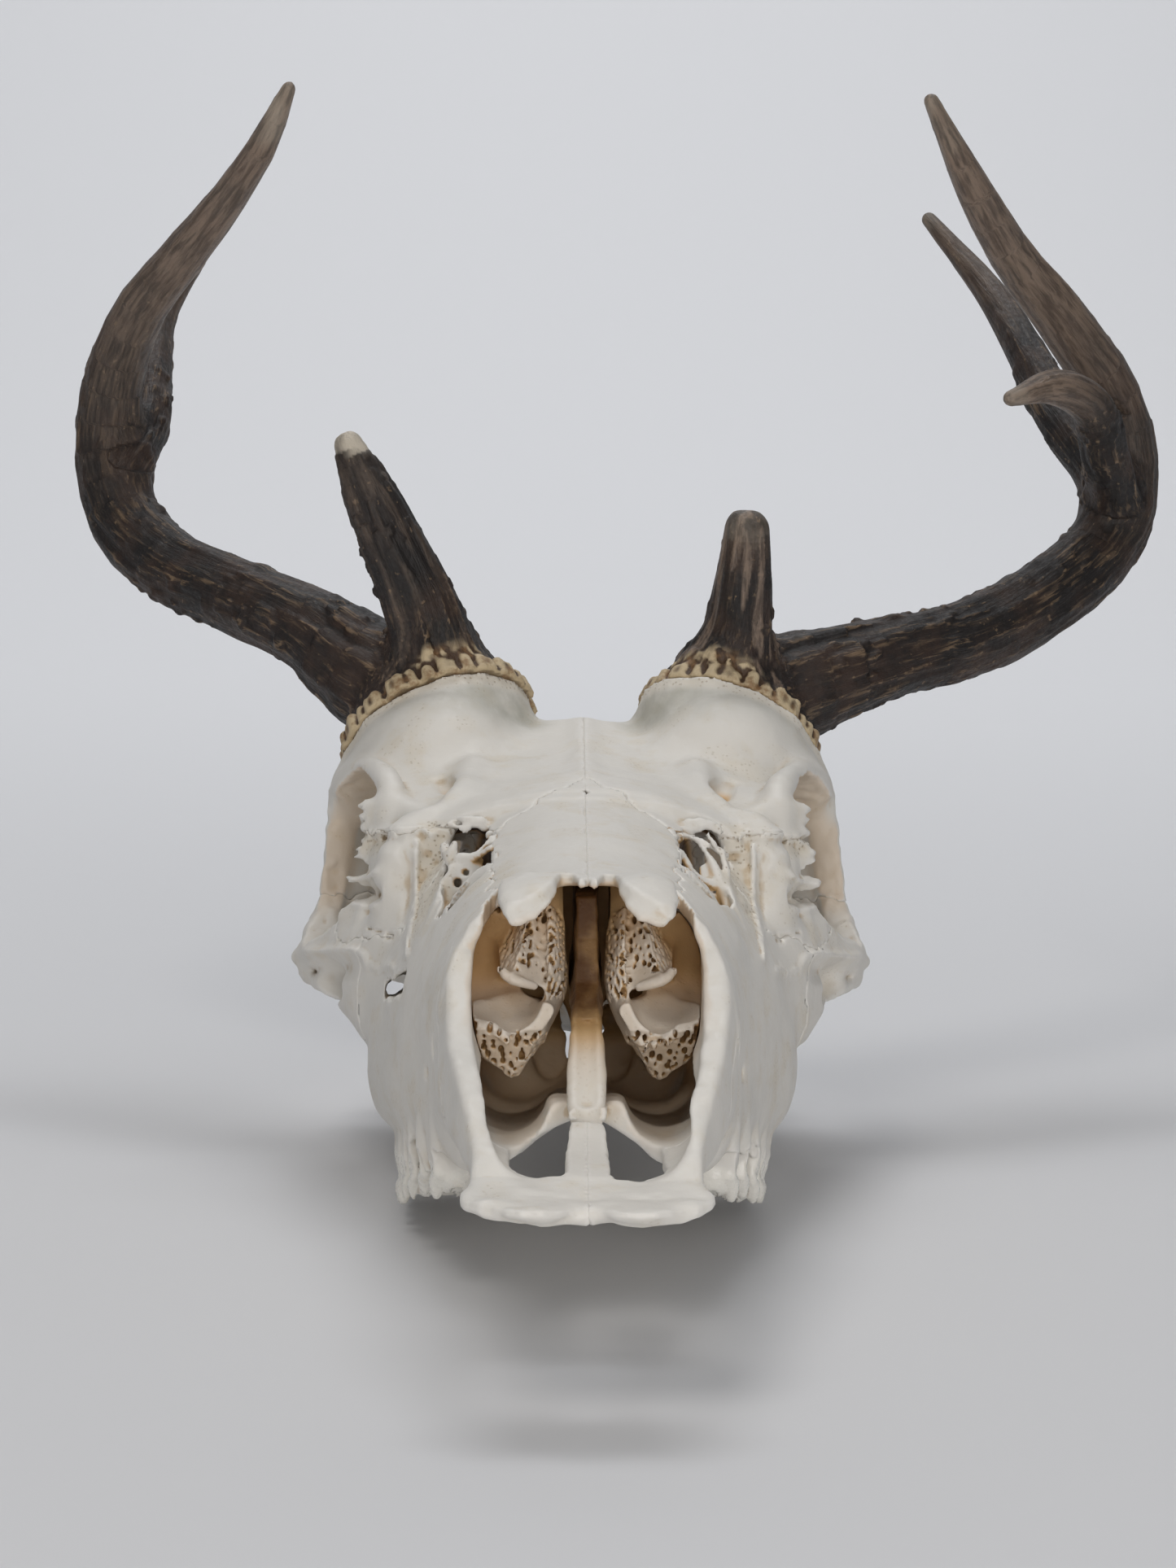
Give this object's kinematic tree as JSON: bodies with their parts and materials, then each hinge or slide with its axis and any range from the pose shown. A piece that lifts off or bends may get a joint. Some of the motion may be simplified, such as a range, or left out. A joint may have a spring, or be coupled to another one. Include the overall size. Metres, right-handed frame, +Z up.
{
  "type": "deer skull",
  "caption": "Bleached deer skull without its lower jaw, lying as on a table: long snout with open nose, eye sockets, cheek teeth and two dark branching antlers.",
  "frame": {"origin": "on the floor, at the middle of the skull's and antlers' outline seen from above", "axes": "-Y the way the snout points, +X towards the animal's left, +Z up"},
  "size_m": [0.2526, 0.356, 0.2255],
  "materials": {
    "bone": "matt, bleached near white",
    "bone_inner": "matt, stained orange-brown",
    "burr_ivory": "ivory pearls with dark brown between them",
    "antler_dark": "near-black brown with pale streaks",
    "antler_brown": "dark brown, greyer and smoother towards the tips"
  },
  "bodies": {
    "root": {"antler_base_left": "burr_ivory", "antler_base_right": "burr_ivory", "antler_beam_left": "antler_brown", "antler_beam_right": "antler_brown", "antler_crown_left": "antler_brown", "antler_crown_right": "antler_brown", "braincase": "bone", "brow_tine_left": "antler_dark", "brow_tine_right": "antler_dark", "frontal_left": "bone", "frontal_right": "bone", "hook_tine_left": "antler_brown", "lacrimal_left": "bone", "lacrimal_right": "bone", "maxilla_left": "bone", "maxilla_right": "bone", "nasal_left": "bone", "nasal_right": "bone", "occipital": "bone", "premaxilla_left": "bone", "premaxilla_right": "bone", "rear_tine_left": "antler_brown", "rear_tine_right": "antler_brown", "turbinate_left": "bone_inner", "turbinate_right": "bone_inner", "vomer": "bone_inner", "zygomatic_left": "bone", "zygomatic_right": "bone"}
  },
  "joints": []
}
